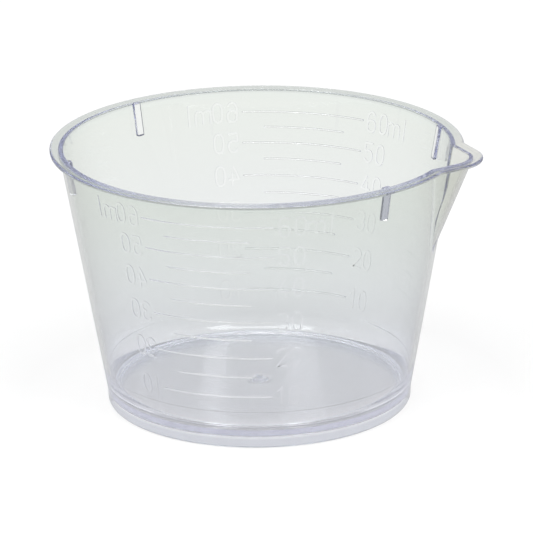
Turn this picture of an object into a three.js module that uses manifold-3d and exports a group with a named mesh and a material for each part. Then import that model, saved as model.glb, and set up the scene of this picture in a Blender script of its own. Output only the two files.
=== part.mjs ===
// A clear medicine cup of 60 ml with a pouring spout, a flange round the rim, four stacking ribs inside
// the rim and two raised scales. Millimetres, Z up. The cup stands on Z = 0 and pours towards +X.

import * as THREE from "three";
import { mergeVertices } from "three/addons/utils/BufferGeometryUtils.js";
import Module from "manifold-3d";

// Height, and the flange round the rim: thickness, and how far it stands out of the wall
const height = 37.85;
const rimThickness = 0.4;
const rimOverhang = 1.3;

// Wall: outer radius at the foot and under the flange, and thickness measured level
const footRadius = 21.9;
const mouthRadius = 28.1;
const wallThickness = 0.7;

// Floor, the hollow corner between floor and wall (how far it comes in over the floor and how far it
// goes up the wall), and the foot ring under the floor
const floorThickness = 0.9;
const cornerWidth = 1.35;
const cornerRise = 3.1;
const footHeight = 1.5;
const footWidth = 1.5;
const footRounding = 0.5;

// Nub left in the middle of the floor where the plastic entered the mould
const nubRadius = 1.2;
const nubHeight = 0.6;
const nubRounding = 0.4;

// Spout, at the height of the rim: how far its ridge stands out of the wall, how far the ridge leans
// out for each millimetre of height, the turn of each flank away from facing +X, the rounding of the
// ridge, and the rounding where the spout's flange runs into the round flange
const spoutOverhang = 3.2;
const spoutLean = 0.407;
const flankAngle = THREE.MathUtils.degToRad(40.7);
const ridgeRounding = 5;
const lipBlend = 1.5;

// The spout is moulded in a triangle of the wall, which starts this far below the channel and is this
// much wider than the channel on each side at the rim
const panelDrop = 4.5;
const panelMargin = 1;

// Stacking ribs: angle from the line of the spout, the turn of all four about the axis, width, depth
// into the cup, length down from the rim and the rounding of the lower corners
const ribAngle = THREE.MathUtils.degToRad(32.8);
const ribTurn = THREE.MathUtils.degToRad(-1.5);
const ribWidth = 1.2;
const ribDepth = 0.45;
const ribLength = 4.9;
const ribRounding = 0.4;

// Scales: marks in millilitres, with a long line at each ten, how far below the floor's upper face the
// volumes count from, as the lines stand on the real cup, and the least room under the flange
const firstMark = 10;
const lastMark = 60;
const markStep = 5;
const longMarkEvery = 10;
const scaleDrop = 1;
const longSpan = THREE.MathUtils.degToRad(40);
const shortSpan = THREE.MathUtils.degToRad(26.3);
const lineWidth = 0.3;
const lineRelief = 0.16;
const lineClearance = 0.5;
const cubicMillimetresPerMillilitre = 1000;

// Fineness of round shapes, and how far a cutting body runs past what it cuts
const segments = 96;
const tipSteps = 12;
const cornerSteps = 6;
const filletSteps = 4;
const overrun = 2;

// Worked out from the sizes above
const floorTop = footHeight + floorThickness;
const wallTop = height - rimThickness;
const wallLean = (mouthRadius - footRadius) / (wallTop - footHeight);
const rimRadius = mouthRadius + rimOverhang;
const spoutReach = outerRadius(height) + spoutOverhang;
const spoutBottom = height - spoutOverhang / (spoutLean - wallLean);
const tipCentre = spoutReach - ridgeRounding;
const flankDistance = tipCentre * Math.cos(flankAngle) + ridgeRounding;
const lipReach = spoutReach + rimOverhang;
const halfTurn = Math.PI;
const quarterTurn = Math.PI / 2;

const wasm = await Module();
wasm.setup();

// Outer radius of the wall's cone at a height
function outerRadius(z) {
  return footRadius + wallLean * (z - footHeight);
}

// Inner radius of the wall's cone at a height
function innerRadius(z) {
  return outerRadius(z) - wallThickness;
}

// Height of a volume's line: a cone that widens upwards from the scale's zero holds the volume below it
function fillHeight(millilitres) {
  const volume = millilitres * cubicMillimetresPerMillilitre;
  const zero = floorTop - scaleDrop;
  const bottom = innerRadius(zero);
  const surface = Math.cbrt(bottom ** 3 + (3 * wallLean * volume) / Math.PI);
  return zero + (surface - bottom) / wallLean;
}

// Points of an arc about (x, y), both ends included
function arc(x, y, radius, from, to, steps) {
  const points = [];
  for (let i = 0; i <= steps; i += 1) {
    const angle = from + ((to - from) * i) / steps;
    points.push(new THREE.Vector2(x + radius * Math.cos(angle), y + radius * Math.sin(angle)));
  }
  return points;
}

// The same points seen in a mirror along the X axis, in reverse order
function mirrored(points) {
  return points.map((p) => new THREE.Vector2(p.x, -p.y)).reverse();
}

// A closed geometry as a body that can be joined and cut
function solidOf(geometry) {
  const bare = geometry.clone();
  bare.deleteAttribute("normal");
  bare.deleteAttribute("uv");
  const merged = mergeVertices(bare, 1e-5);
  const index = merged.index.array;
  const corners = [];
  for (let i = 0; i < index.length; i += 3) {
    const [a, b, c] = index.slice(i, i + 3);
    if (a !== b && b !== c && c !== a) {
      corners.push(a, b, c);
    }
  }
  const vertProperties = merged.attributes.position.array;
  const triVerts = new Uint32Array(corners);
  return new wasm.Manifold(new wasm.Mesh({ numProp: 3, vertProperties, triVerts }));
}

// A body as a geometry for a mesh
function geometryOf(body) {
  const { vertProperties, triVerts } = body.getMesh();
  const geometry = new THREE.BufferGeometry();
  geometry.setAttribute("position", new THREE.BufferAttribute(vertProperties, 3));
  geometry.setIndex(new THREE.BufferAttribute(triVerts, 1));
  geometry.computeVertexNormals();
  return geometry;
}

// A profile of points (radius, height) turned about the Z axis
function turned(profile) {
  const geometry = new THREE.LatheGeometry(profile, segments);
  geometry.rotateX(quarterTurn);
  return solidOf(geometry);
}

// A geometry that raises an outline in plan from one height to another
function raised(outline, bottom, top) {
  const shape = new THREE.Shape(outline);
  const geometry = new THREE.ExtrudeGeometry(shape, { depth: top - bottom, bevelEnabled: false });
  geometry.translate(0, 0, bottom);
  return geometry;
}

// A body that carries an outline, drawn as (across, height) and seen from +X, from one x to another
function facingX(outline, near, far) {
  const geometry = raised(outline, near, far);
  const across = new THREE.Vector3(0, 1, 0);
  const up = new THREE.Vector3(0, 0, 1);
  const outwards = new THREE.Vector3(1, 0, 0);
  geometry.applyMatrix4(new THREE.Matrix4().makeBasis(across, up, outwards));
  return geometry;
}

// A slab between two heights that covers the whole cup
function slab(bottom, top) {
  const side = 2 * (lipReach + overrun);
  const geometry = new THREE.BoxGeometry(side, side, top - bottom);
  geometry.translate(0, 0, (top + bottom) / 2);
  return solidOf(geometry);
}

// The wall's outside as a filled cone
function outerCone() {
  const top = height + overrun;
  return turned([
    new THREE.Vector2(0, footHeight),
    new THREE.Vector2(footRadius, footHeight),
    new THREE.Vector2(outerRadius(top), top),
    new THREE.Vector2(0, top),
  ]);
}

// The wall's inside as a filled cone, drawn in by an inset. Its hollow corner is a curve that touches
// floor and wall, drawn towards the place where the two would meet.
function innerCone(inset) {
  const top = height + overrun;
  const cornerTop = floorTop + cornerRise;
  const meeting = new THREE.Vector2(innerRadius(floorTop) - inset, floorTop);
  const onFloor = new THREE.Vector2(meeting.x - cornerWidth, floorTop);
  const onWall = new THREE.Vector2(innerRadius(cornerTop) - inset, cornerTop);
  const corner = new THREE.QuadraticBezierCurve(onFloor, meeting, onWall);
  return turned([
    new THREE.Vector2(0, floorTop),
    ...corner.getPoints(cornerSteps),
    new THREE.Vector2(innerRadius(top) - inset, top),
    new THREE.Vector2(0, top),
  ]);
}

// The leaning V of the spout as a filled body with a rounded ridge, drawn in by an inset. Each flank
// runs in to the place where it is nearest to the cup's axis, which lies well inside the wall.
function spoutBody(inset) {
  const distance = flankDistance - inset;
  const flankEnd = new THREE.Vector2(Math.cos(flankAngle), Math.sin(flankAngle)).multiplyScalar(distance);
  const tip = arc(tipCentre, 0, ridgeRounding - inset, -flankAngle, flankAngle, tipSteps);
  const plan = [...mirrored([flankEnd]), ...tip, flankEnd];
  const geometry = raised(plan, spoutBottom - overrun, height + overrun);
  geometry.translate(0, 0, -height);
  geometry.applyMatrix4(new THREE.Matrix4().makeShear(0, 0, 0, 0, spoutLean, 0));
  geometry.translate(0, 0, height);
  return solidOf(geometry);
}

// Half the channel's width where its flanks meet the wall at the height of the rim
function channelHalfWidth() {
  const along = Math.sqrt(outerRadius(height) ** 2 - flankDistance ** 2);
  return flankDistance * Math.sin(flankAngle) - along * Math.cos(flankAngle);
}

// The triangle of the wall that holds the spout, as a body that cuts it out
function spoutPanel() {
  const apex = spoutBottom - panelDrop;
  const top = height + overrun;
  const halfWidth = ((channelHalfWidth() + panelMargin) * (top - apex)) / (height - apex);
  const outline = [
    new THREE.Vector2(0, apex),
    new THREE.Vector2(halfWidth, top),
    new THREE.Vector2(-halfWidth, top),
  ];
  return solidOf(facingX(outline, footRadius / 2, lipReach + overrun));
}

// Plan of the flange: round, with the spout's V standing out of it and blended in at both sides
function flangePlan() {
  const normal = new THREE.Vector2(Math.cos(flankAngle), Math.sin(flankAngle));
  const side = new THREE.Vector2(-normal.y, normal.x);
  const away = flankDistance + rimOverhang + lipBlend;
  const along = -Math.sqrt((rimRadius + lipBlend) ** 2 - away ** 2);
  const centre = normal.clone().multiplyScalar(away).addScaledVector(side, along);
  const meeting = centre.angle();
  const { x, y } = centre;
  const blend = arc(x, y, lipBlend, flankAngle + halfTurn, meeting + halfTurn, filletSteps);
  const tip = arc(tipCentre, 0, ridgeRounding + rimOverhang, -flankAngle, flankAngle, tipSteps);
  const round = arc(0, 0, rimRadius, meeting, 2 * halfTurn - meeting, segments);
  return [...round.slice(1, -1), ...mirrored(blend), ...tip, ...blend];
}

// A wedge about the Z axis, a span wide about a middle angle
function wedge(middle, span, bottom, top) {
  const far = arc(0, 0, 2 * rimRadius, middle - span / 2, middle + span / 2, 2);
  return solidOf(raised([new THREE.Vector2(0, 0), ...far], bottom, top));
}

// The floor
function floorDisc() {
  return turned([
    new THREE.Vector2(0, footHeight),
    new THREE.Vector2(footRadius, footHeight),
    new THREE.Vector2(outerRadius(floorTop), floorTop),
    new THREE.Vector2(0, floorTop),
  ]);
}

// The ring that the cup stands on, rounded at its outer lower edge
function footRing() {
  const rounding = Math.min(footRounding, footHeight, footWidth);
  const inside = footRadius - footWidth;
  return turned([
    new THREE.Vector2(inside, 0),
    ...arc(footRadius - rounding, rounding, rounding, -quarterTurn, 0, filletSteps),
    new THREE.Vector2(footRadius, footHeight),
    new THREE.Vector2(inside, footHeight),
    new THREE.Vector2(inside, 0),
  ]);
}

// The nub, rounded at its upper edge
function gateNub() {
  const rounding = Math.min(nubRounding, nubHeight, nubRadius);
  const top = floorTop + nubHeight;
  return turned([
    new THREE.Vector2(0, floorTop),
    new THREE.Vector2(nubRadius, floorTop),
    ...arc(nubRadius - rounding, top - rounding, rounding, 0, quarterTurn, filletSteps),
    new THREE.Vector2(0, top),
  ]);
}

// One stacking rib: an upright bar on the wall's inside, rounded at its lower corners
function stackingRib(angle) {
  const bottom = height - ribLength;
  const rounding = Math.min(ribRounding, ribWidth / 2);
  const centre = ribWidth / 2 - rounding;
  const corner = arc(centre, bottom + rounding, rounding, -quarterTurn, 0, filletSteps);
  const outline = [...corner, new THREE.Vector2(ribWidth / 2, height)];
  const opposite = outline.map((p) => new THREE.Vector2(-p.x, p.y)).reverse();
  const bar = facingX([...outline, ...opposite], footRadius / 2, mouthRadius);
  bar.rotateZ(angle);
  return solidOf(bar).intersect(innerCone(0)).subtract(innerCone(ribDepth));
}

// One raised line of a scale, on the outside of the wall
function scaleLine(millilitres, middle) {
  const span = millilitres % longMarkEvery === 0 ? longSpan : shortSpan;
  const low = fillHeight(millilitres) - lineWidth / 2;
  const high = low + lineWidth;
  const ring = turned([
    new THREE.Vector2(innerRadius(low), low),
    new THREE.Vector2(outerRadius(low) + lineRelief, low),
    new THREE.Vector2(outerRadius(high) + lineRelief, high),
    new THREE.Vector2(innerRadius(high), high),
    new THREE.Vector2(innerRadius(low), low),
  ]);
  return ring.intersect(wedge(middle, span, low - overrun, high + overrun)).subtract(outerCone());
}

// Clear polystyrene: the thin wall looks pale green grey, and thick edges look violet grey
const clearWall = { color: 0xdde3df, roughness: 0.06 };
const clearEdge = { color: 0xb9bdc9, roughness: 0.08 };
const clearFloor = { color: 0xd3d5de, roughness: 0.1 };
const raisedLine = { color: 0xeef1ef, roughness: 0.12 };

const cup = new THREE.Group();

function addPiece(name, body, { color, roughness }) {
  const material = new THREE.MeshStandardMaterial({ color, roughness, metalness: 0 });
  const mesh = new THREE.Mesh(geometryOf(body), material);
  mesh.name = name;
  cup.add(mesh);
}

const cavity = innerCone(0).add(spoutBody(wallThickness));
const shell = outerCone().add(spoutBody(0)).subtract(cavity).intersect(slab(floorTop, wallTop));
const flange = solidOf(raised(flangePlan(), wallTop, height)).subtract(cavity);
const panel = spoutPanel();

addPiece("cup_wall", shell.subtract(panel), clearWall);
addPiece("pouring_spout", shell.intersect(panel), clearWall);
addPiece("rim_flange", flange.subtract(panel), clearEdge);
addPiece("spout_lip", flange.intersect(panel), clearEdge);
addPiece("floor_disc", floorDisc(), clearFloor);
addPiece("foot_ring", footRing(), clearEdge);
addPiece("gate_nub", gateNub(), clearFloor);

const ribPlaces = {
  front_left: ribAngle,
  back_left: halfTurn - ribAngle,
  back_right: ribAngle - halfTurn,
  front_right: -ribAngle,
};
for (const [place, angle] of Object.entries(ribPlaces)) {
  addPiece(`stacking_rib_${place}`, stackingRib(angle + ribTurn), clearEdge);
}

// Left and right are as the pourer sees them, looking along +X, and a line needs room below the flange
const scaleMiddles = { right: -quarterTurn, left: quarterTurn };
for (const [side, middle] of Object.entries(scaleMiddles)) {
  for (let mark = firstMark; mark <= lastMark; mark += markStep) {
    if (fillHeight(mark) + lineWidth / 2 + lineClearance <= wallTop) {
      addPiece(`line_${mark}ml_${side}`, scaleLine(mark, middle), raisedLine);
    }
  }
}

// The origin is the middle of the cup's whole length on the ground, so the round wall's axis lies a
// little behind it
cup.position.x = (rimRadius - lipReach) / 2;

const medicineCup = new THREE.Group();
medicineCup.add(cup);

export default medicineCup;
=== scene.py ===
"""Looks of a clear 60 ml medicine cup: the moulding, its raised scales and the studio around it.

The cup is one moulding of clear polystyrene. Its surface is worked out in millimetres about the round
wall's own axis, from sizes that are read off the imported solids, and is written in metres.
"""

import logging
import math
from dataclasses import dataclass, field
from enum import Enum
from typing import Sequence

import bpy
import numpy as np
from mathutils import Matrix, Vector


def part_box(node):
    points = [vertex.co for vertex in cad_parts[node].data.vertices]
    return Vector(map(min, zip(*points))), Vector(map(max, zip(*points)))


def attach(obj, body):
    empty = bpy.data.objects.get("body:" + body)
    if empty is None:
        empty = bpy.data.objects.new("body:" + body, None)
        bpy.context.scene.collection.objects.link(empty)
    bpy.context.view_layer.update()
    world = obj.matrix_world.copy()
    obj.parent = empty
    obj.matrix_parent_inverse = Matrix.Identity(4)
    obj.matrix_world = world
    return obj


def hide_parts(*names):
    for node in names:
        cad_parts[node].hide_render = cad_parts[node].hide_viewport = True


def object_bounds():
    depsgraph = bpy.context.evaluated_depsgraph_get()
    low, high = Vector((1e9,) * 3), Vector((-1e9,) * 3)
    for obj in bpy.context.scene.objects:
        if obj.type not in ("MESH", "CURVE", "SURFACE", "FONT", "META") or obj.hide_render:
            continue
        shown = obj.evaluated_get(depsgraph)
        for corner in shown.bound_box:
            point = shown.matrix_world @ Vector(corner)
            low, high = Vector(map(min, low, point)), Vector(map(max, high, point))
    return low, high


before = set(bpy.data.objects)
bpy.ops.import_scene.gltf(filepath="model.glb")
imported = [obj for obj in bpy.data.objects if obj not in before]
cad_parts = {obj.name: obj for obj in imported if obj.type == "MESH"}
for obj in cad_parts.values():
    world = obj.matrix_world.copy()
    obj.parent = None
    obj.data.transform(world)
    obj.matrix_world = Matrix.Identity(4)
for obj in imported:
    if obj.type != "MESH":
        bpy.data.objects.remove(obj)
cad_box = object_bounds()

logging.basicConfig(level=logging.INFO, format="%(message)s")
log = logging.getLogger("medicine_cup")

MM = 0.001


def smooth_larger(a: np.ndarray, b: np.ndarray, rounding: float) -> np.ndarray:
    """The larger of two lengths, with the corner between them rounded.

    It is the mean plus the root of the squared half difference and the squared rounding.

    Args:
        a: First length at each point.
        b: Second length at each point.
        rounding: How far the rounded corner stands over the sharp one.

    Returns:
        The rounded larger length at each point.
    """
    return (a + b) / 2 + np.sqrt(((a - b) / 2) ** 2 + rounding**2)


def arc_angles(start: float, end: float, steps: int) -> np.ndarray:
    """Angles in radians of an arc from start to end in degrees, both ends included."""
    return np.radians(np.linspace(start, end, steps + 1))


def superellipse(count: int, power: float) -> tuple[np.ndarray, np.ndarray]:
    """Points round a squared circle of radius 1.

    Each coordinate is a power of the cosine's or the sine's size with its sign.

    Args:
        count: How many points go round.
        power: The power. Below 1 the circle nears a square, and above it a lozenge.

    Returns:
        Both coordinates of each point.
    """
    a = np.linspace(0, 2 * math.pi, count, endpoint=False)
    c, s = np.cos(a), np.sin(a)
    return np.sign(c) * np.abs(c) ** power, np.sign(s) * np.abs(s) ** power


def unit(vectors: np.ndarray) -> np.ndarray:
    """Vectors of the same directions and the length 1."""
    return vectors / np.linalg.norm(vectors, axis=-1, keepdims=True)


@dataclass(frozen=True)
class CupSizes:
    """Sizes of the moulding in millimetres, about the round wall's axis.

    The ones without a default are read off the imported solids. The others repeat the solids' own.
    """

    axis_x: float
    height: float
    wall_top: float
    floor_top: float
    foot_height: float
    foot_radius: float
    mouth_radius: float
    rim_radius: float
    lip_reach: float
    nub_top: float
    wall: float = 0.7
    corner_width: float = 1.35
    corner_rise: float = 3.1
    foot_width: float = 1.5
    foot_rounding: float = 0.5
    nub_radius: float = 1.2
    ridge_rounding: float = 5.0
    spout_lean: float = 0.407
    flank_angle: float = math.radians(40.7)
    lip_blend: float = 1.5
    scale_drop: float = 1.0

    @classmethod
    def from_frame(cls) -> "CupSizes":
        """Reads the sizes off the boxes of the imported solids."""
        names = ("cup_wall", "foot_ring", "floor_disc", "rim_flange", "spout_lip", "gate_nub")
        wall, foot, floor, rim, lip, nub = (np.array(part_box(name), float) / MM for name in names)
        axis_x = float(foot[0, 0] + foot[1, 0]) / 2
        return cls(
            axis_x=axis_x,
            height=float(rim[1, 2]),
            wall_top=float(wall[1, 2]),
            floor_top=float(floor[1, 2]),
            foot_height=float(foot[1, 2]),
            foot_radius=float(np.ptp(foot[:, 1])) / 2,
            mouth_radius=float(np.ptp(wall[:, 1])) / 2,
            rim_radius=float(np.ptp(rim[:, 1])) / 2,
            lip_reach=float(lip[1, 0]) - axis_x,
            nub_top=float(nub[1, 2]),
        )

    @property
    def lean(self) -> float:
        """How far the wall leans out for each millimetre of height."""
        return (self.mouth_radius - self.foot_radius) / (self.wall_top - self.foot_height)

    @property
    def wall_angle(self) -> float:
        """Angle between the wall and the upright, in radians."""
        return math.atan(self.lean)

    @property
    def rim_overhang(self) -> float:
        """How far the flange stands out of the wall."""
        return self.rim_radius - self.mouth_radius

    @property
    def spout_reach(self) -> float:
        """Distance from the axis to the spout's outer ridge at the height of the rim."""
        return self.lip_reach - self.rim_overhang

    @property
    def spout_bottom(self) -> float:
        """Height at which the ridge comes out of the wall."""
        return self.height - (self.spout_reach - self.outer(self.height)) / (self.spout_lean - self.lean)

    def outer(self, z: np.ndarray | float) -> np.ndarray | float:
        """Outer radius of the wall's cone at a height."""
        return self.foot_radius + self.lean * (z - self.foot_height)

    def inner(self, z: np.ndarray | float) -> np.ndarray | float:
        """Inner radius of the wall's cone at a height."""
        return self.outer(z) - self.wall

    def fill_height(self, millilitres: float) -> float:
        """Height of a volume's line.

        A cone that widens from the scale's zero holds the volume below it, so the cube of its radius
        at the line is the cube at the zero plus three times the lean times the volume, over pi.

        Args:
            millilitres: The volume.

        Returns:
            The height in millimetres.
        """
        zero = self.floor_top - self.scale_drop
        bottom = self.inner(zero)
        surface = (bottom**3 + 3000 * self.lean * millilitres / math.pi) ** (1 / 3)
        return zero + (surface - bottom) / self.lean


@dataclass(frozen=True)
class SpoutForm:
    """The leaning V of the spout as a radius over the angle from the pouring direction."""

    sizes: CupSizes
    reach_of_formula: float = math.radians(40)

    def radius(self, angle: np.ndarray, z: float, inset: float) -> np.ndarray:
        """Radius of the V at a height, drawn in by an inset, or 0 away from the spout.

        A flank is a straight line whose normal stands at the flank angle: its radius is its distance
        from the axis over the cosine of the angle left to that normal. The nose is a circle about a
        centre on the pouring direction: its radius is the centre's distance along the ray plus the
        root of the circle's squared radius less the squared distance of the centre from the ray.

        Args:
            angle: Angle from the pouring direction at each point, in radians.
            z: Height in millimetres.
            inset: How far the V is drawn in from the outer face.

        Returns:
            The radius at each point in millimetres.
        """
        s = self.sizes
        turn = np.abs(angle)
        near = turn < self.reach_of_formula
        turn = np.where(near, turn, 0)
        centre = s.spout_reach - s.ridge_rounding + s.spout_lean * (z - s.height)
        rounding = s.ridge_rounding - inset
        distance = centre * math.cos(s.flank_angle) + rounding
        flank = distance / np.cos(s.flank_angle - turn)
        across = np.minimum((centre * np.sin(turn)) ** 2, rounding**2)
        nose = centre * np.cos(turn) + np.sqrt(rounding**2 - across)
        on_nose = flank * np.sin(turn) < rounding * math.sin(s.flank_angle)
        return np.where(near, np.where(on_nose, nose, flank), 0)

    def flange_radius(self, angle: np.ndarray) -> np.ndarray:
        """Outer radius of the flange: round, with the V's outline standing out of it.

        The corner between circle and flank is a hollow arc that touches both. A ray meets it at the
        arc centre's distance along the ray less the root of the arc's squared radius less the squared
        distance of the centre from the ray.

        Args:
            angle: Angle from the pouring direction at each point, in radians.

        Returns:
            The radius at each point in millimetres.
        """
        s = self.sizes
        turn = np.abs(angle)
        centre = s.spout_reach - s.ridge_rounding
        away = centre * math.cos(s.flank_angle) + s.ridge_rounding + s.rim_overhang + s.lip_blend
        far = s.rim_radius + s.lip_blend
        meeting = s.flank_angle - math.acos(away / far)
        touch_x = far * math.cos(meeting) - s.lip_blend * math.cos(s.flank_angle)
        touch_y = far * math.sin(meeting) - s.lip_blend * math.sin(s.flank_angle)
        flank_end = math.atan2(touch_y, touch_x)
        off = np.minimum((far * np.sin(turn - meeting)) ** 2, s.lip_blend**2)
        hollow = far * np.cos(turn - meeting) - np.sqrt(s.lip_blend**2 - off)
        v = self.radius(angle, s.height, -s.rim_overhang)
        return np.where(turn >= meeting, s.rim_radius, np.where(turn > flank_end, hollow, v))


def new_mesh(name: str, points: np.ndarray, quads: np.ndarray, triangles: np.ndarray) -> bpy.types.Mesh:
    """Makes a smooth mesh from points in metres and arrays of corner numbers.

    Args:
        name: The mesh's name.
        points: Array of shape (n, 3) in metres.
        quads: Array of shape (m, 4).
        triangles: Array of shape (k, 3).

    Returns:
        The mesh.
    """
    mesh = bpy.data.meshes.new(name)
    mesh.vertices.add(len(points))
    mesh.vertices.foreach_set("co", points.astype(np.float32).ravel())
    corners = np.concatenate([quads.ravel(), triangles.ravel()]).astype(np.int32)
    totals = np.concatenate([np.full(len(quads), 4), np.full(len(triangles), 3)])
    mesh.loops.add(len(corners))
    mesh.loops.foreach_set("vertex_index", corners)
    mesh.polygons.add(len(totals))
    starts = np.concatenate([[0], np.cumsum(totals)[:-1]]).astype(np.int32)
    mesh.polygons.foreach_set("loop_start", starts)
    mesh.update(calc_edges=True)
    mesh.validate()
    return mesh


def new_piece(name: str, mesh: bpy.types.Mesh) -> bpy.types.Object:
    """Puts a mesh into the scene as an object at the origin."""
    piece = bpy.data.objects.new(name, mesh)
    bpy.context.scene.collection.objects.link(piece)
    return piece


def closed_grid(rings: np.ndarray, poles: tuple | None = None) -> tuple:
    """Points and faces of a closed skin over rings of points.

    Ring i and ring i + 1 are joined by quads that run round. With poles, a fan of triangles about a
    pole closes each end, and without them the last ring is joined to the first. Faces look out when
    the points of a ring run anticlockwise as seen from the last pole.

    Args:
        rings: Array of shape (rings, points, 3).
        poles: The points that close the first and the last ring, or None for a loop.

    Returns:
        Points, quads and triangles.
    """
    count, around = rings.shape[:2]
    points = rings.reshape(-1, 3)
    i, j = np.meshgrid(np.arange(count - 1 if poles else count), np.arange(around), indexing="ij")
    ahead, after = (i + 1) % count, (j + 1) % around
    corners = [i * around + j, i * around + after, ahead * around + after, ahead * around + j]
    quads = np.stack(corners, -1).reshape(-1, 4)
    if not poles:
        return points, quads, np.zeros((0, 3), int)
    k = np.arange(around)
    after = (k + 1) % around
    top = (count - 1) * around
    first = np.stack([np.full(around, len(points)), after, k], -1)
    last = np.stack([np.full(around, len(points) + 1), top + k, top + after], -1)
    return np.concatenate([points, poles]), quads, np.concatenate([first, last])


@dataclass
class Shell:
    """The moulding's skin without ribs and scales: floor, wall, spout, rim and foot in one closed skin."""

    sizes: CupSizes
    spout_sector: float = 17.5
    spout_step: float = 0.23
    round_step: float = 1.5
    wall_step: float = 0.52
    crease_rounding: float = 0.03
    inner_edge: float = 0.14
    outer_edge: float = 0.12
    underside_fillet: float = 0.08
    corner_steps: int = 14
    corner_ledge: float = 0.05
    foot_inner_fillet: float = 0.15
    stub_radius: float = 0.45
    stub_step: float = 0.3
    nub_edge: float = 0.12
    foot_inner_edge: float = 0.1
    floor_start: float = 2.5
    ring_gap: float = 1.0
    sparse_rings: int = 6
    knee_drop: float = 2.0
    spout: SpoutForm = field(init=False)
    angles: np.ndarray = field(init=False)
    rows: list = field(init=False, default_factory=list)

    def __post_init__(self) -> None:
        """Lays out the angles, close together at the spout."""
        self.spout = SpoutForm(self.sizes)
        near = math.ceil(2 * self.spout_sector / self.spout_step)
        far = math.ceil((360 - 2 * self.spout_sector) / self.round_step)
        close = np.linspace(-self.spout_sector, self.spout_sector, near, endpoint=False)
        wide = np.linspace(self.spout_sector, 360 - self.spout_sector, far, endpoint=False)
        self.angles = np.radians(np.concatenate([close, wide]))

    @property
    def turn(self) -> np.ndarray:
        """Angle of each column from the pouring direction, from minus to plus half a turn."""
        return (self.angles + math.pi) % (2 * math.pi) - math.pi

    def wall_radius(self, z: float, inset: float) -> np.ndarray:
        """Radius of wall and spout at a height, drawn in by an inset: the rounded larger of cone and V."""
        v = self.spout.radius(self.turn, z, inset)
        return smooth_larger(np.full_like(v, self.sizes.outer(z) - inset), v, self.crease_rounding)

    def row(self, radius: np.ndarray | float, z: float) -> None:
        """Adds a ring of points of one height."""
        self.rows.append((np.broadcast_to(radius, self.angles.shape), z))

    def bend(self, radius: np.ndarray | float, z: float, rounding: float, start: float, end: float,
             steps: int = 3) -> None:
        """Adds the rings of a rounding, whose section is an arc about a centre.

        Args:
            radius: The centre's distance from the axis.
            z: The centre's height.
            rounding: The arc's radius.
            start: First angle in degrees, from straight out of the axis.
            end: Last angle in degrees.
            steps: How many steps the arc has.
        """
        for a in arc_angles(start, end, steps):
            self.row(radius + rounding * math.cos(a), z + rounding * math.sin(a))

    def step_down(self, radius: float, high: float, low: float) -> None:
        """A round step with a rounded upper edge and a hollow foot."""
        edge = self.nub_edge
        self.bend(radius - edge, high - edge, edge, 90, 0)
        self.bend(radius + edge, low + edge, edge, 180, 270)

    def floor_rows(self) -> None:
        """Nub with the stub of its gate, floor and the hollow corner.

        The corner is a quadratic Bezier curve from the floor's edge to the wall. Its middle point is
        where the floor's plane meets the wall's cone, so the curve touches both. It stops a fine
        ledge short of the wall, where the core's two parts met.
        """
        s = self.sizes
        step = s.floor_top + self.stub_step
        self.step_down(self.stub_radius, s.nub_top, step)
        self.step_down(s.nub_radius, step, s.floor_top)
        meeting = s.inner(s.floor_top)
        edge = meeting - s.corner_width
        top = s.floor_top + s.corner_rise
        for r in np.linspace(self.floor_start, edge - self.ring_gap, self.sparse_rings):
            self.row(r, s.floor_top)
        for t in np.linspace(0, 1, self.corner_steps + 1):
            near, middle, far = (1 - t) ** 2, 2 * t * (1 - t), t**2
            radius = near * edge + middle * meeting + far * s.inner(top)
            self.row(radius - self.corner_ledge, (near + middle) * s.floor_top + far * top)
        self.row(s.inner(top + self.corner_ledge), top + self.corner_ledge)

    def wall_heights(self, low: float, high: float) -> np.ndarray:
        """Heights of the wall's rings: a few below the spout, and close together beside it."""
        knee = self.sizes.spout_bottom - self.knee_drop
        below = np.linspace(low, knee, self.sparse_rings, endpoint=False)
        beside = np.linspace(knee, high, math.ceil((high - knee) / self.wall_step) + 1)
        return np.concatenate([below, beside])

    def rim_rows(self) -> None:
        """Rounded inner edge, flat top, rounded outer edge and the flange's underside."""
        s = self.sizes
        mouth = self.wall_radius(s.height, s.wall)
        flange = self.spout.flange_radius(self.turn)
        inside, outside = mouth + self.inner_edge, flange - self.outer_edge
        self.bend(inside, s.height - self.inner_edge, self.inner_edge, 180, 90, 4)
        for share in (0.25, 0.5, 0.75):
            self.row(inside + share * (outside - inside), s.height)
        self.bend(outside, s.height - self.outer_edge, self.outer_edge, 90, 0)
        self.bend(outside, s.wall_top + self.outer_edge, self.outer_edge, 0, -90)
        wall = self.wall_radius(s.wall_top, 0) + self.underside_fillet
        self.row((wall + outside) / 2, s.wall_top)
        self.bend(wall, s.wall_top - self.underside_fillet, self.underside_fillet, 90, 180, 4)

    def foot_rows(self) -> None:
        """Upright band, rounded lower edge, flat ring, and the hollow under the floor."""
        s = self.sizes
        rounding = s.foot_rounding
        self.row(s.foot_radius, s.foot_height)
        self.bend(s.foot_radius - rounding, rounding, rounding, 0, -90, 6)
        inside = s.foot_radius - s.foot_width
        edge = self.foot_inner_edge
        self.bend(inside + edge, edge, edge, -90, -180)
        fillet = self.foot_inner_fillet
        self.bend(inside - fillet, s.foot_height - fillet, fillet, 0, 90)
        for r in np.linspace(inside - self.ring_gap, self.ring_gap, self.sparse_rings):
            self.row(r, s.foot_height)

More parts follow.
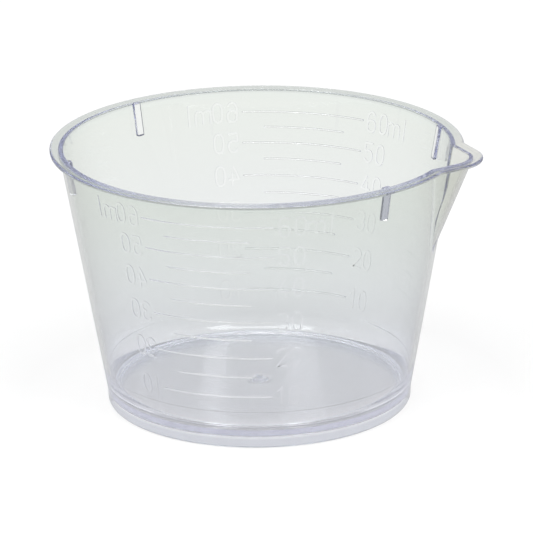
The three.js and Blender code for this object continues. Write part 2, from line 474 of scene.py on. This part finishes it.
    def build(self) -> bpy.types.Object:
        """Stacks the rings from the middle of the floor over the rim to the middle of the underside."""
        s = self.sizes
        self.floor_rows()
        start = self.rows[-1][1]
        for z in self.wall_heights(start, s.height - self.inner_edge)[1:-1]:
            self.row(self.wall_radius(z, s.wall), z)
        self.rim_rows()
        for z in self.wall_heights(s.foot_height, s.wall_top - self.underside_fillet)[1:-1][::-1]:
            self.row(self.wall_radius(z, 0), z)
        self.foot_rows()
        radius = np.stack([r for r, _ in self.rows])
        z = np.array([z for _, z in self.rows])[:, None]
        x = s.axis_x + radius * np.cos(self.angles)
        y = radius * np.sin(self.angles)
        rings = np.stack([x, y, np.broadcast_to(z, x.shape)], -1)[:, ::-1]
        poles = (s.axis_x, 0, s.nub_top), (s.axis_x, 0, s.foot_height)
        points, quads, triangles = closed_grid(rings, poles)
        return new_piece("cup", new_mesh("cup", points * MM, quads, triangles))


@dataclass
class StackingRibs:
    """Four upright flat ribs inside the rim, rounded at their edges and lower ends."""

    sizes: CupSizes
    angle: float = math.radians(32.8)
    turn: float = math.radians(-1.5)
    width: float = 1.2
    depth: float = 0.45
    buried: float = 0.35
    length: float = 4.9
    end_rounding: float = 0.25
    end_start: float = 12.0
    top_clearance: float = 0.02
    squareness: float = 9.0
    around: int = 48

    def rib(self, angle: float) -> tuple:
        """One rib: a bar carried up the wall from a rounded lower end.

        The section is a superellipse, close to an oblong, of which a part is buried in the wall. It
        shrinks towards the lower end as a quarter circle does.

        Args:
            angle: The rib's angle from the pouring direction, in radians.

        Returns:
            Points, quads and triangles.
        """
        s = self.sizes
        bottom, top = s.height - self.length, s.height - self.top_clearance
        ends = bottom + self.end_rounding * (1 - np.cos(arc_angles(self.end_start, 90, 5)))
        z = np.concatenate([ends, np.linspace(ends[-1], top, 5)[1:]])[:, None]
        up = np.clip((z - bottom) / self.end_rounding, 0, 1)
        size = np.sqrt(1 - (1 - up) ** 2)
        across, outwards = superellipse(self.around, 2 / self.squareness)
        across = across * self.width / 2 * size
        outwards = outwards * (self.depth + self.buried) / 2 * size
        radius = s.inner(z) + (self.buried - self.depth) / 2 + outwards
        x = s.axis_x + radius * math.cos(angle) - across * math.sin(angle)
        y = radius * math.sin(angle) + across * math.cos(angle)
        rings = np.stack([x, y, np.broadcast_to(z, x.shape)], -1)[:, ::-1]
        centres = rings.mean(axis=1)
        return closed_grid(rings, (centres[0], centres[-1]))

    def build(self) -> bpy.types.Object:
        """All four ribs as one body to be joined to the shell."""
        angles = (self.angle, math.pi - self.angle, self.angle - math.pi, -self.angle)
        return joined("ribs", [self.rib(self.turn + a) for a in angles])


def joined(name: str, bodies: Sequence[tuple]) -> bpy.types.Object:
    """Puts several bodies of points, quads and triangles in millimetres into one object."""
    points, quads, triangles, base = [], [], [], 0
    for p, q, t in bodies:
        points.append(p * MM)
        quads.append(q + base)
        triangles.append(t + base)
        base += len(p)
    mesh = new_mesh(name, np.concatenate(points), np.concatenate(quads), np.concatenate(triangles))
    return new_piece(name, mesh)


class Reading(Enum):
    """Which way a number runs round the cup, as seen from outside."""

    FROM_OUTSIDE = 1
    FROM_INSIDE = -1


def line_points(*corners: tuple, step: float = 0.05) -> np.ndarray:
    """Points along straight strokes between corners, close enough together to bend with the wall."""
    parts = []
    for (x0, y0), (x1, y1) in zip(corners, corners[1:]):
        count = max(2, math.ceil(math.hypot(x1 - x0, y1 - y0) / step))
        share = np.arange(count)[:, None] / count
        parts.append(np.array([x0, y0]) + share * np.array([x1 - x0, y1 - y0]))
    return np.concatenate([*parts, [corners[-1]]])


def arc_points(x: float, y: float, rx: float, ry: float, start: float, end: float) -> np.ndarray:
    """Points along an ellipse's arc about (x, y), from one angle in degrees to another."""
    a = arc_angles(start, end, max(4, math.ceil(abs(end - start) / 15)))
    return np.stack([x + rx * np.cos(a), y + ry * np.sin(a)], -1)


@dataclass(frozen=True)
class Stroke:
    """One raised stroke of a figure: its points across and up in glyph units, and whether it closes."""

    points: np.ndarray
    closed: bool = False


@dataclass(frozen=True)
class Figures:
    """Single-line figures, one unit high, as an engraver cuts them into a mould."""

    half: float = 0.25
    bowl: float = 0.27

    def strokes(self, figure: str) -> list[Stroke]:
        """The strokes of one figure, centred across and standing on 0."""
        h, b = self.half, self.bowl
        table = {
            "0": [Stroke(self.oval(0.5, 0.5), True)],
            "1": [
                Stroke(line_points((0.1 * h, 1), (0.1 * h, 0))),
                Stroke(line_points((-0.7 * h, 0.76), (0.05 * h, 0.96))),
            ],
            "2": [self.two()],
            "3": [
                Stroke(arc_points(0, 1 - 0.24, h * 0.95, 0.24, 155, -80)),
                Stroke(arc_points(0, b, h, b, 80, -155)),
            ],
            "4": [
                Stroke(line_points((0.2 * h, 1), (-h, 0.33))),
                Stroke(line_points((-h, 0.3), (1.1 * h, 0.3))),
                Stroke(line_points((0.45 * h, 0.62), (0.45 * h, 0))),
            ],
            "5": [self.five()],
            "6": [
                Stroke(self.oval(b, b + 0.02), True),
                Stroke(np.concatenate([line_points((-h, 0.34), (-h, 0.6))[:-1],
                                       arc_points(0, 0.66, h, 0.34, 180, 40)])),
            ],
            "m": [
                Stroke(line_points((-0.42, 0), (-0.42, 0.64))),
                Stroke(self.arch(-0.42)),
                Stroke(self.arch(0.0)),
            ],
            "l": [Stroke(line_points((0, 0), (0, 1)))],
        }
        return table[figure]

    def oval(self, middle: float, reach: float) -> np.ndarray:
        """A closed upright oval with straight-ish sides: a superellipse."""
        x, y = superellipse(28, 0.8)
        return np.stack([x * self.half, middle + y * reach], -1)

    def arch(self, left: float) -> np.ndarray:
        """Half of an m: up from a stem, over and down."""
        middle = left + 0.21
        over = arc_points(middle, 0.45, 0.21, 0.21, 170, 0)
        return np.concatenate([over, line_points((left + 0.42, 0.42), (left + 0.42, 0))])

    def two(self) -> Stroke:
        """A bow, a slanting stroke and a foot."""
        h = self.half
        bow = arc_points(0, 0.74, h, 0.26, 160, -20)
        rest = line_points((0.85 * h, 0.6), (-h, 0.0), (1.05 * h, 0.0))
        return Stroke(np.concatenate([bow, rest]))

    def five(self) -> Stroke:
        """A flag, a short stem and a bowl."""
        h = self.half
        flag = line_points((0.9 * h, 1), (-0.85 * h, 1), (-0.95 * h, 0.58))[:-1]
        bowl = arc_points(0, 0.31, h, 0.31, 125, -150)
        return Stroke(np.concatenate([flag, bowl]))


@dataclass(frozen=True)
class RidgeSection:
    """Section of a raised stroke: width and relief in millimetres, and how square its superellipse is."""

    width: float
    relief: float
    squareness: float

    def points(self, around: int) -> tuple[np.ndarray, np.ndarray]:
        """The section's points: half the width across the stroke, and the relief out of the wall.

        Args:
            around: How many points go round the section.

        Returns:
            Distances across and distances out.
        """
        across, out = superellipse(around, 2 / self.squareness)
        return across * self.width / 2, out * self.relief


@dataclass
class Scales:
    """Two raised scales on the wall's outside, with a number at both ends of each long line."""

    sizes: CupSizes
    first_mark: int = 10
    last_mark: int = 60
    mark_step: int = 5
    long_every: int = 10
    long_half: float = math.radians(20)
    short_half: float = math.radians(13.15)
    line_section: RidgeSection = RidgeSection(0.26, 0.09, 1.4)
    figure_section: RidgeSection = RidgeSection(0.38, 0.035, 2.0)
    figure_height: float = 2.8
    first_figure: float = math.radians(23.0)
    figure_pitch: float = math.radians(4.65)
    around: int = 16
    line_places: int = 41

    def ridge(self, angle: np.ndarray, z: np.ndarray, section: RidgeSection, closed: bool) -> tuple:
        """A raised rounded stroke along points on the wall, centred on the wall's face.

        An open stroke ends in quarter circles.

        Args:
            angle: Angle about the axis at each point, in radians.
            z: Height at each point in millimetres.
            section: The stroke's section.
            closed: Whether the last point joins the first.

        Returns:
            Points, quads and triangles.
        """
        s = self.sizes
        tilt = s.wall_angle
        centre = np.stack([s.outer(z) * np.cos(angle), s.outer(z) * np.sin(angle), z], -1)
        normal = np.stack([np.cos(angle) * math.cos(tilt), np.sin(angle) * math.cos(tilt),
                           np.full_like(angle, -math.sin(tilt))], -1)
        if closed:
            along = np.roll(centre, -1, axis=0) - np.roll(centre, 1, axis=0)
            size = np.ones(len(angle))
        else:
            ends = arc_angles(10, 90, 3)[:-1]
            first = unit(centre[1] - centre[0]) * section.width / 2
            last = unit(centre[-1] - centre[-2]) * section.width / 2
            before = centre[0] - np.outer(np.cos(ends), first)
            behind = centre[-1] + np.outer(np.cos(ends[::-1]), last)
            centre = np.concatenate([before, centre, behind])
            normal = np.pad(normal, ((len(ends), len(ends)), (0, 0)), "edge")
            size = np.concatenate([np.sin(ends), np.ones(len(angle)), np.sin(ends[::-1])])
            along = np.gradient(centre, axis=0)
        along = unit(along)
        across = unit(np.cross(normal, along))
        aside, out = section.points(self.around)
        sideways = across[:, None] * aside[:, None]
        outwards = normal[:, None] * out[:, None]
        rings = centre[:, None] + size[:, None, None] * (sideways + outwards)
        rings[..., 0] += s.axis_x
        middles = rings.mean(axis=1)
        return closed_grid(rings, None if closed else (middles[0], middles[-1]))

    def marks(self) -> range:
        """The marked volumes in millilitres."""
        return range(self.first_mark, self.last_mark + 1, self.mark_step)

    def line(self, millilitres: int, middle: float) -> tuple:
        """One scale line, long at each ten."""
        half = self.long_half if millilitres % self.long_every == 0 else self.short_half
        height = self.sizes.fill_height(millilitres)
        end = half - self.line_section.width / 2 / self.sizes.outer(height)
        angle = middle + np.linspace(-end, end, self.line_places)
        return self.ridge(angle, np.full_like(angle, height), self.line_section, closed=False)

    def figure(self, figure: str, place: int, millilitres: int, middle: float, reading: Reading) -> list:
        """The strokes of one figure, bent round the wall beside its line.

        Args:
            figure: The figure or letter.
            place: Its place in the number, from 0.
            millilitres: The line's volume.
            middle: Angle of the scale's middle.
            reading: Whether it reads from outside or from inside.

        Returns:
            One body for each stroke.
        """
        s = self.sizes
        base = s.fill_height(millilitres)
        centre = self.first_figure + place * self.figure_pitch
        bodies = []
        for stroke in Figures().strokes(figure):
            x, y = stroke.points.T
            z = base + (y - 0.5) * self.figure_height * math.cos(s.wall_angle)
            angle = middle + reading.value * (centre + x * self.figure_height / s.outer(base))
            bodies.append(self.ridge(angle, z, self.figure_section, stroke.closed))
        return bodies

    def layers(self) -> tuple[list, list]:
        """Lines and strokes in two sets, so that no two in one set overlap."""
        first, second = [], []
        for middle in (-math.pi / 2, math.pi / 2):
            for mark in self.marks():
                first.append(self.line(mark, middle))
                if mark % self.long_every:
                    continue
                word = f"{mark}ml" if mark == self.last_mark else str(mark)
                for reading in Reading:
                    for place, figure in enumerate(word):
                        strokes = self.figure(figure, place, mark, middle, reading)
                        first.extend(strokes[0::2])
                        second.extend(strokes[1::2])
        return first, second


def unite(piece: bpy.types.Object, other: bpy.types.Object) -> None:
    """Joins another closed body to a piece, keeps the result as the piece's mesh and drops the other."""
    join = piece.modifiers.new("join", "BOOLEAN")
    join.operation = "UNION"
    join.solver = "MANIFOLD"
    join.object = other
    graph = bpy.context.evaluated_depsgraph_get()
    result = bpy.data.meshes.new_from_object(piece.evaluated_get(graph), depsgraph=graph)
    piece.modifiers.remove(join)
    old = piece.data
    piece.data = result
    bpy.data.meshes.remove(old)
    bpy.data.objects.remove(other)


class Value:
    """A number socket on which Python arithmetic adds Math nodes."""

    def __init__(self, shader: "Shader", socket: bpy.types.NodeSocket) -> None:
        """Wraps a socket of a shader's tree."""
        self.shader = shader
        self.socket = socket

    def maths(self, operation: str, *values: "Value | float") -> "Value":
        """Adds a Math node of one operation on these values."""
        return self.shader.node("ShaderNodeMath", {"operation": operation}, dict(enumerate(values)))

    def __add__(self, other: "Value | float") -> "Value":
        """Sum."""
        return self.maths("ADD", self, other)

    __radd__ = __add__

    def __mul__(self, other: "Value | float") -> "Value":
        """Product."""
        return self.maths("MULTIPLY", self, other)

    __rmul__ = __mul__

    def __sub__(self, other: "Value | float") -> "Value":
        """Difference."""
        return self.maths("SUBTRACT", self, other)

    def __rsub__(self, other: "Value | float") -> "Value":
        """Difference the other way round."""
        return self.maths("SUBTRACT", other, self)

    def __truediv__(self, other: "Value | float") -> "Value":
        """Quotient."""
        return self.maths("DIVIDE", self, other)

    def clamped(self) -> "Value":
        """The value held between 0 and 1."""
        return self.maths("MINIMUM", self.maths("MAXIMUM", self, 0.0), 1.0)

    def size(self) -> "Value":
        """The value without its sign."""
        return self.maths("ABSOLUTE", self)

    def root(self) -> "Value":
        """The value's square root."""
        return self.maths("SQRT", self)

    def rises(self, start: float, width: float) -> "Value":
        """0 up to a start, 1 from a width beyond it, and a straight ramp between."""
        return ((self - start) / width).clamped()

    def falls(self, end: float, width: float) -> "Value":
        """1 up to a width before an end, 0 from the end on, and a straight ramp between."""
        return ((end - self) / width).clamped()

    def larger(self, other: "Value | float") -> "Value":
        """The larger of two values."""
        return self.maths("MAXIMUM", self, other)


class Shader:
    """A node tree to which nodes are added one at a time."""

    def __init__(self, tree: bpy.types.NodeTree) -> None:
        """Clears a tree for new nodes."""
        self.tree = tree
        tree.nodes.clear()

    def node(self, kind: str, settings: dict | None = None, inputs: dict | None = None,
             output: int | str = 0) -> Value:
        """Adds a node, sets it up and feeds its sockets.

        Args:
            kind: The node's type.
            settings: Properties that are set first. A ramp's stops go under "stops".
            inputs: Values or wrapped sockets by socket name or number.
            output: Which output to hand back.

        Returns:
            The wrapped output, or the wrapped first input of a node without outputs.
        """
        node = self.tree.nodes.new(kind)
        for name, value in (settings or {}).items():
            if name == "stops":
                self.set_stops(node.color_ramp, value)
            else:
                setattr(node, name, value)
        for name, value in (inputs or {}).items():
            if isinstance(value, Value):
                self.tree.links.new(value.socket, node.inputs[name])
            else:
                node.inputs[name].default_value = value
        return Value(self, node.outputs[output] if node.outputs else node.inputs[0])

    def part(self, vector: Value, axis: str) -> Value:
        """One coordinate of a vector."""
        return self.node("ShaderNodeSeparateXYZ", inputs={0: vector}, output=axis)

    def mix(self, share: Value, first: Value | tuple, second: Value | tuple) -> Value:
        """The first colour where the share is 0, and the second where it is 1."""
        return self.node("ShaderNodeMix", {"data_type": "RGBA"}, {0: share, 6: first, 7: second}, output=2)

    def noise(self, place: Value, form: tuple[float, float, float]) -> Value:
        """Noise at a place, of this scale, detail and roughness."""
        inputs = dict(zip(("Scale", "Detail", "Roughness"), form))
        return self.node("ShaderNodeTexNoise", inputs={"Vector": place, **inputs})

    def ray(self, kind: str) -> Value:
        """1 on rays of a kind, and 0 on others."""
        return self.node("ShaderNodeLightPath", output=f"Is {kind} Ray")

    @staticmethod
    def set_stops(ramp: bpy.types.ColorRamp, stops: Sequence[tuple[float, tuple]]) -> None:
        """Gives a colour ramp its stops of place and colour."""
        while len(ramp.elements) < len(stops):
            ramp.elements.new(0.5)
        for element, (place, colour) in zip(ramp.elements, stops):
            element.position = place
            element.color = colour


@dataclass(frozen=True)
class ClearPolystyrene:
    """Clear, stiff moulded plastic: polished, faintly uneven, greenish where thin, violet where thick.

    Lengths are in millimetres, but for the depth of the waves. A tint is a base colour, but for the
    depth's, which light takes on inside the plastic. The first number of a tint's stop is its height
    as a share of the cup's. The height's stops are partly the plastic's faint tint and partly painted
    shade and reflection. The near ribs and the spout's side carry painted shade. Far ribs are clear
    but for painted shade on their outer edges and lower ends. Raised lines and figures are clear, so
    they read lighter than the shaded wall, a painted highlight. A noise has a scale, a detail and a
    roughness.
    """

    sizes: CupSizes
    name: str = "clear_polystyrene"
    refraction: float = 1.59
    # Partly the plastic's faint tint and partly painted shade and reflection: painted dark bands at the
    # foot and the flange, blue violet low down for the reflected floor, greenish grey higher up for the
    # surroundings seen through the cup.
    tint_stops: tuple = (
        (0.034, (0.77, 0.79, 0.85, 1)),
        (0.039, (0.95, 0.955, 0.98, 1)),
        (0.065, (0.95, 0.955, 0.98, 1)),
        (0.12, (0.885, 0.895, 0.92, 1)),
        (0.32, (0.865, 0.88, 0.895, 1)),
        (0.53, (0.845, 0.865, 0.86, 1)),
        (0.95, (0.845, 0.875, 0.835, 1)),
        (0.986, (0.83, 0.87, 0.83, 1)),
        (0.9885, (0.73, 0.77, 0.74, 1)),
    )
    clear: tuple = (1.0, 1.0, 1.0, 1)
    # Painted shade: the two near ribs, on the side where y is below 0, are darkened to grey violet.
    near_rib_tint: tuple = (0.34, 0.34, 0.45, 1)
    # Painted shade: the spout's side of the cup is darkened a little and warmed.
    spout_tint: tuple = (0.79, 0.80, 0.76, 1)
    # Painted shade: near-black on the far ribs' outer edges and lower ends.
    rib_edge_tint: tuple = (0.04, 0.04, 0.08, 1)
    rib_zone: float = 6.0
    rib_clearance: float = 0.04
    rib_fade: float = 0.06
    # Widths of the painted rib shade at the edges and the ends.
    rib_edge: float = 0.2
    rib_edge_fade: float = 0.05
    rib_end: float = 0.4
    ridge_fade: float = 0.07
    flange_clearance: float = 0.2
    foot_clearance: float = 1.0
    scale_clearance: float = 11.2
    scale_fade: float = 0.3
    spout_starts: float = 23.5
    spout_fade: float = 3.0
    far_fade: float = 1.0
    floor_fade: float = 0.5
    fade: float = 0.1
    rib_roughness: float = 0.03
    depth_tint: tuple = (0.45, 0.48, 0.80, 1)
    absorption: float = 10.5
    roughness: float = 0.02
    floor_roughness: float = 0.22
    haze: float = 0.05
    unevenness: float = 0.01
    wave_noise: tuple = (160.0, 2.0, 0.5)
    wave_depth: float = 0.0002
    flow_noise: tuple = (45.0, 3.0, 0.55)

    def on_floor(self, height: Value, radius: Value) -> Value:
        """1 on the floor's upper face, and 0 elsewhere."""
        s = self.sizes
        low = height.falls(s.floor_top + self.fade, self.fade)
        high = height.rises(s.floor_top - self.fade, self.fade)
        return low * high * radius.falls(s.inner(s.floor_top) - s.corner_width, self.floor_fade)

    def on_ribs(self, height: Value, radius: Value) -> Value:
        """1 on the stacking ribs, which stand inside the wall's inner face, and 0 elsewhere."""
        s = self.sizes
        wall = height * s.lean + s.inner(0)
        inside = (wall - radius).rises(self.rib_clearance, self.rib_fade)
        return inside * height.rises(s.height - self.rib_zone, self.fade)

    def on_rib_edges(self, height: Value, x: Value, y: Value) -> Value:
        """1 where the ribs' painted shade goes: a rib's lower end and its edge away from the spout's line,
        and 0 elsewhere.

        Coordinates x and y are from the axis. Turned back by the ribs' common turn, the four ribs
        mirror each other, so the sizes of both coordinates bring them all to one. The distance from
        that one's middle plane is one size times the cosine of its angle less the other times the sine.
        """
        s = self.sizes
        ribs = StackingRibs(s)
        turned_x = x * math.cos(ribs.turn) + y * math.sin(ribs.turn)
        turned_y = y * math.cos(ribs.turn) - x * math.sin(ribs.turn)
        aside = turned_y.size() * math.cos(ribs.angle) - turned_x.size() * math.sin(ribs.angle)
        edge = aside.rises(ribs.width / 2 - self.rib_edge, self.rib_edge_fade)
        end = height.falls(s.height - ribs.length + self.rib_end, self.fade)
        return edge.larger(end)

    def on_ridges(self, height: Value, radius: Value, y: Value) -> Value:
        """1 on raised lines and numbers, which stand out of the wall's outer face, and 0 elsewhere."""
        s = self.sizes
        wall = height * s.lean + s.outer(0)
        outside = (radius - wall).rises(0, self.ridge_fade)
        below_flange = height.falls(s.wall_top - self.flange_clearance, self.fade)
        above_foot = height.rises(s.foot_height + self.foot_clearance, self.fade)
        beside = y.size().rises(self.scale_clearance, self.scale_fade)
        return outside * below_flange * above_foot * beside

    def build(self) -> bpy.types.Material:
        """Makes the material."""
        material = bpy.data.materials.new(self.name)
        material.use_nodes = True
        shader = Shader(material.node_tree)
        place = shader.node("ShaderNodeTexCoord", output="Object")
        along, y, height = (shader.part(place, axis) / MM for axis in "XYZ")
        x = along - self.sizes.axis_x
        radius = (x * x + y * y).root()
        flow = shader.noise(place, self.flow_noise)
        rise = (height / self.sizes.height).clamped()
        # Painted shade and reflection by height, over the plastic's faint tint.
        wall_tint_and_shade = shader.node("ShaderNodeValToRGB", {"stops": self.tint_stops}, {"Fac": rise})
        ribs = self.on_ribs(height, radius)
        blur = self.rib_roughness * ribs + self.floor_roughness * self.on_floor(height, radius)
        # Painted shade on the far ribs' edges and ends.
        edges = self.on_rib_edges(height, x, y)
        far_rib_painted_shade = shader.mix(edges, self.clear, self.rib_edge_tint)
        # Painted shade on the near ribs all over.
        rib_painted_shade = shader.mix(y.rises(0, self.far_fade), self.near_rib_tint, far_rib_painted_shade)
        # Painted shade over the spout's side.
        on_spout = along.rises(self.spout_starts, self.spout_fade)
        shell_tint_and_shade = shader.mix(on_spout, wall_tint_and_shade, self.spout_tint)
        smooth_tint_and_shade = shader.mix(ribs, shell_tint_and_shade, rib_painted_shade)
        # Raised lines and figures skip the wall's tint and painted shade, so they read lighter: a painted
        # highlight. The base colour carries all the painted shade above.
        tint = shader.mix(self.on_ridges(height, radius, y), smooth_tint_and_shade, self.clear)
        bump = shader.node("ShaderNodeBump", inputs={
            "Strength": self.unevenness,
            "Distance": self.wave_depth,
            "Height": shader.noise(place, self.wave_noise),
        })
        surface = shader.node("ShaderNodeBsdfPrincipled", inputs={
            "Base Color": tint,
            "Roughness": self.roughness + self.haze * (flow - 0.5).clamped() + blur,
            "IOR": self.refraction,
            "Transmission Weight": 1.0,
            "Normal": bump,
        })
        inside = shader.node("ShaderNodeVolumeAbsorption",
                             inputs={"Color": self.depth_tint, "Density": self.absorption})
        shader.node("ShaderNodeOutputMaterial", inputs={"Surface": surface, "Volume": inside})
        return material


@dataclass
class MedicineCup:
    """The whole moulding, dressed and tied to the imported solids."""

    sizes: CupSizes
    sharp_angle: float = math.radians(32)

    def build(self) -> bpy.types.Object:
        """Makes the shell, joins ribs and scales to it and dresses it."""
        cup = Shell(self.sizes).build()
        log.info("shell: %d points", len(cup.data.vertices))
        unite(cup, StackingRibs(self.sizes).build())
        log.info("with ribs: %d points", len(cup.data.vertices))
        for layer in Scales(self.sizes).layers():
            unite(cup, joined("scale", layer))
            log.info("with a layer of the scales: %d points", len(cup.data.vertices))
        mesh = cup.data
        mesh.polygons.foreach_set("use_smooth", np.ones(len(mesh.polygons), bool))
        mesh.set_sharp_from_angle(angle=self.sharp_angle)
        mesh.materials.clear()
        mesh.materials.append(ClearPolystyrene(self.sizes).build())
        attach(cup, "root")
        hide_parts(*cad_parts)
        return cup


@dataclass(frozen=True)
class Softbox:
    """A large soft lamp: where it stands, its size and its power."""

    name: str
    place: tuple[float, float, float]
    size: tuple[float, float]
    power: float

    def build(self, target: Vector) -> None:
        """Sets the lamp up facing a point."""
        lamp = bpy.data.lights.new(self.name, "AREA")
        lamp.shape = "RECTANGLE"
        lamp.size, lamp.size_y = self.size
        lamp.energy = self.power
        holder = bpy.data.objects.new(self.name, lamp)
        bpy.context.scene.collection.objects.link(holder)
        holder.location = self.place
        holder.rotation_euler = (target - Vector(self.place)).to_track_quat("-Z", "Y").to_euler()


@dataclass(frozen=True)
class Viewpoint:
    """The photograph's camera: angles in degrees, distance in metres and the point it looks at."""

    azimuth: float = 15.3
    elevation: float = 18.965
    roll: float = -0.607
    distance: float = 0.5651
    target: tuple[float, float, float] = (-0.000480, 0.000316, 0.019388)
    lens: float = 266.07
    sensor: float = 36.0

    def build(self) -> None:
        """Places the camera and makes it the scene's."""
        a, e, roll = (math.radians(v) for v in (self.azimuth, self.elevation, self.roll))
        back = Vector((math.sin(a) * math.cos(e), -math.cos(a) * math.cos(e), math.sin(e)))
        right = Vector((math.cos(a), math.sin(a), 0))
        up = back.cross(right)
        turned_right = math.cos(roll) * right + math.sin(roll) * up
        turned_up = math.cos(roll) * up - math.sin(roll) * right
        data = bpy.data.cameras.new("photo_view")
        data.lens = self.lens
        data.sensor_width = self.sensor
        data.clip_start, data.clip_end = 0.01, 20
        camera = bpy.data.objects.new("photo_view", data)
        bpy.context.scene.collection.objects.link(camera)
        turn = Matrix((turned_right, turned_up, back)).transposed().to_4x4()
        camera.matrix_world = Matrix.Translation(Vector(self.target) + back * self.distance) @ turn
        bpy.context.scene.camera = camera


@dataclass
class Studio:
    """A white table, a world that is bright at the horizon, soft lamps and the camera."""

    floor_radius: float = 2.0
    floor_corners: int = 64
    floor_drop: float = 0.00003
    floor_glow: float = 0.66
    # Painted pool of light: the table glows brighter under the cup.
    glow_under_cup: float = 0.73
    foot_reach: float = 0.024
    glow_fade: float = 0.012
    floor_white: float = 0.25
    horizon: float = 1.0
    zenith: float = 0.95
    zenith_from: float = 0.8
    mirrored: float = 0.6
    trapped: float = 1.0
    trapped_after: float = 2.0
    trapped_over: float = 2.0
    bounces: int = 150
    lamps: tuple = (
        Softbox("left_softbox", (-0.26, -0.62, 0.69), (0.37, 0.37), 1.6),
        Softbox("right_softbox", (0.54, -0.40, 0.69), (0.27, 0.37), 1.6),
        Softbox("overhead_softbox", (0.04, -0.3, 0.85), (0.9, 0.3), 4.2),
    )
    viewpoint: Viewpoint = field(default_factory=Viewpoint)

    def unmirrored(self, shader: Shader) -> Value:
        """The room's brightness by how often its light is mirrored on its way to the eye.

        It is 1 without a mirroring and the mirrored room's grey after one. It rises again for light
        that is trapped in the plastic, which comes out mixed from all sides.
        """
        mirrors = shader.node("ShaderNodeLightPath", output="Glossy Depth")
        trapped = mirrors.rises(self.trapped_after, self.trapped_over)
        grey = self.mirrored + trapped * (self.trapped - self.mirrored)
        return 1 - mirrors.clamped() * (1 - grey)

    def seen_directly(self, shader: Shader) -> Value:
        """1 on rays of the camera, on reflections and through glass, and 0 on others."""
        return shader.ray("Camera").larger(shader.ray("Glossy")).larger(shader.ray("Transmission"))

    def floor(self) -> None:
        """A round white table that keeps the cup's shadow and glows a little where it is seen.

        It glows most under the cup: a painted pool of light that stands for the light the clear cup passes
        on to it.
        """
        x, y = (self.floor_radius * v for v in superellipse(self.floor_corners, 1))
        ring = np.stack([x, y, np.full_like(x, -self.floor_drop)], -1)
        mesh = bpy.data.meshes.new("table")
        mesh.from_pydata(ring.tolist(), [], [list(range(self.floor_corners))])
        floor = new_piece("table", mesh)
        material = bpy.data.materials.new("white_table")
        material.use_nodes = True
        shader = Shader(material.node_tree)
        white = (self.floor_white,) * 3 + (1,)
        matt = shader.node("ShaderNodeBsdfDiffuse", inputs={"Color": white})
        place = shader.node("ShaderNodeTexCoord", output="Object")
        away = shader.node("ShaderNodeVectorMath", {"operation": "LENGTH"}, {0: place}, output="Value")
        # Painted pool of light under the cup.
        under = away.falls(self.foot_reach + self.glow_fade, self.glow_fade)
        glowing = self.floor_glow + under * (self.glow_under_cup - self.floor_glow)
        strength = glowing * self.seen_directly(shader) * self.unmirrored(shader)
        glow = shader.node("ShaderNodeEmission", inputs={"Color": (1, 1, 1, 1), "Strength": strength})
        both = shader.node("ShaderNodeAddShader", inputs={0: matt, 1: glow})
        shader.node("ShaderNodeOutputMaterial", inputs={"Surface": both})
        mesh.materials.append(material)

    def world(self) -> None:
        """White where the camera sees it, and otherwise white at the horizon and a little darker overhead.

        A mirrored room is grey all round, as the room in front of a white table is.
        """
        world = bpy.data.worlds.new("studio")
        world.use_nodes = True
        shader = Shader(world.node_tree)
        direction = shader.node("ShaderNodeTexCoord", output="Generated")
        share = shader.part(direction, "Z").rises(0, self.zenith_from)
        light = self.horizon + share * (self.zenith - self.horizon)
        strength = (light * self.unmirrored(shader)).larger(shader.ray("Camera"))
        glow = shader.node("ShaderNodeBackground", inputs={"Color": (1, 1, 1, 1), "Strength": strength})
        shader.node("ShaderNodeOutputWorld", inputs={"Surface": glow})
        world.cycles.sampling_method = "NONE"
        bpy.context.scene.world = world

    def build(self) -> None:
        """Sets up table, world, lamps, camera and colour management."""
        self.floor()
        self.world()
        low, high = cad_box
        for lamp in self.lamps:
            lamp.build((low + high) / 2)
        self.viewpoint.build()
        scene = bpy.context.scene
        scene.view_settings.view_transform = "Standard"
        scene.cycles.max_bounces = self.bounces
        scene.cycles.transmission_bounces = self.bounces
        scene.cycles.glossy_bounces = self.bounces


def main() -> None:
    """Builds the cup and its studio and notes the sizes and the cup's triangles."""
    sizes = CupSizes.from_frame()
    log.info("sizes in millimetres: %s", sizes)
    cup = MedicineCup(sizes).build()
    log.info("%s: %d triangles", cup.name, sum(len(p.vertices) - 2 for p in cup.data.polygons))
    Studio().build()


if __name__ == "__main__":
    main()
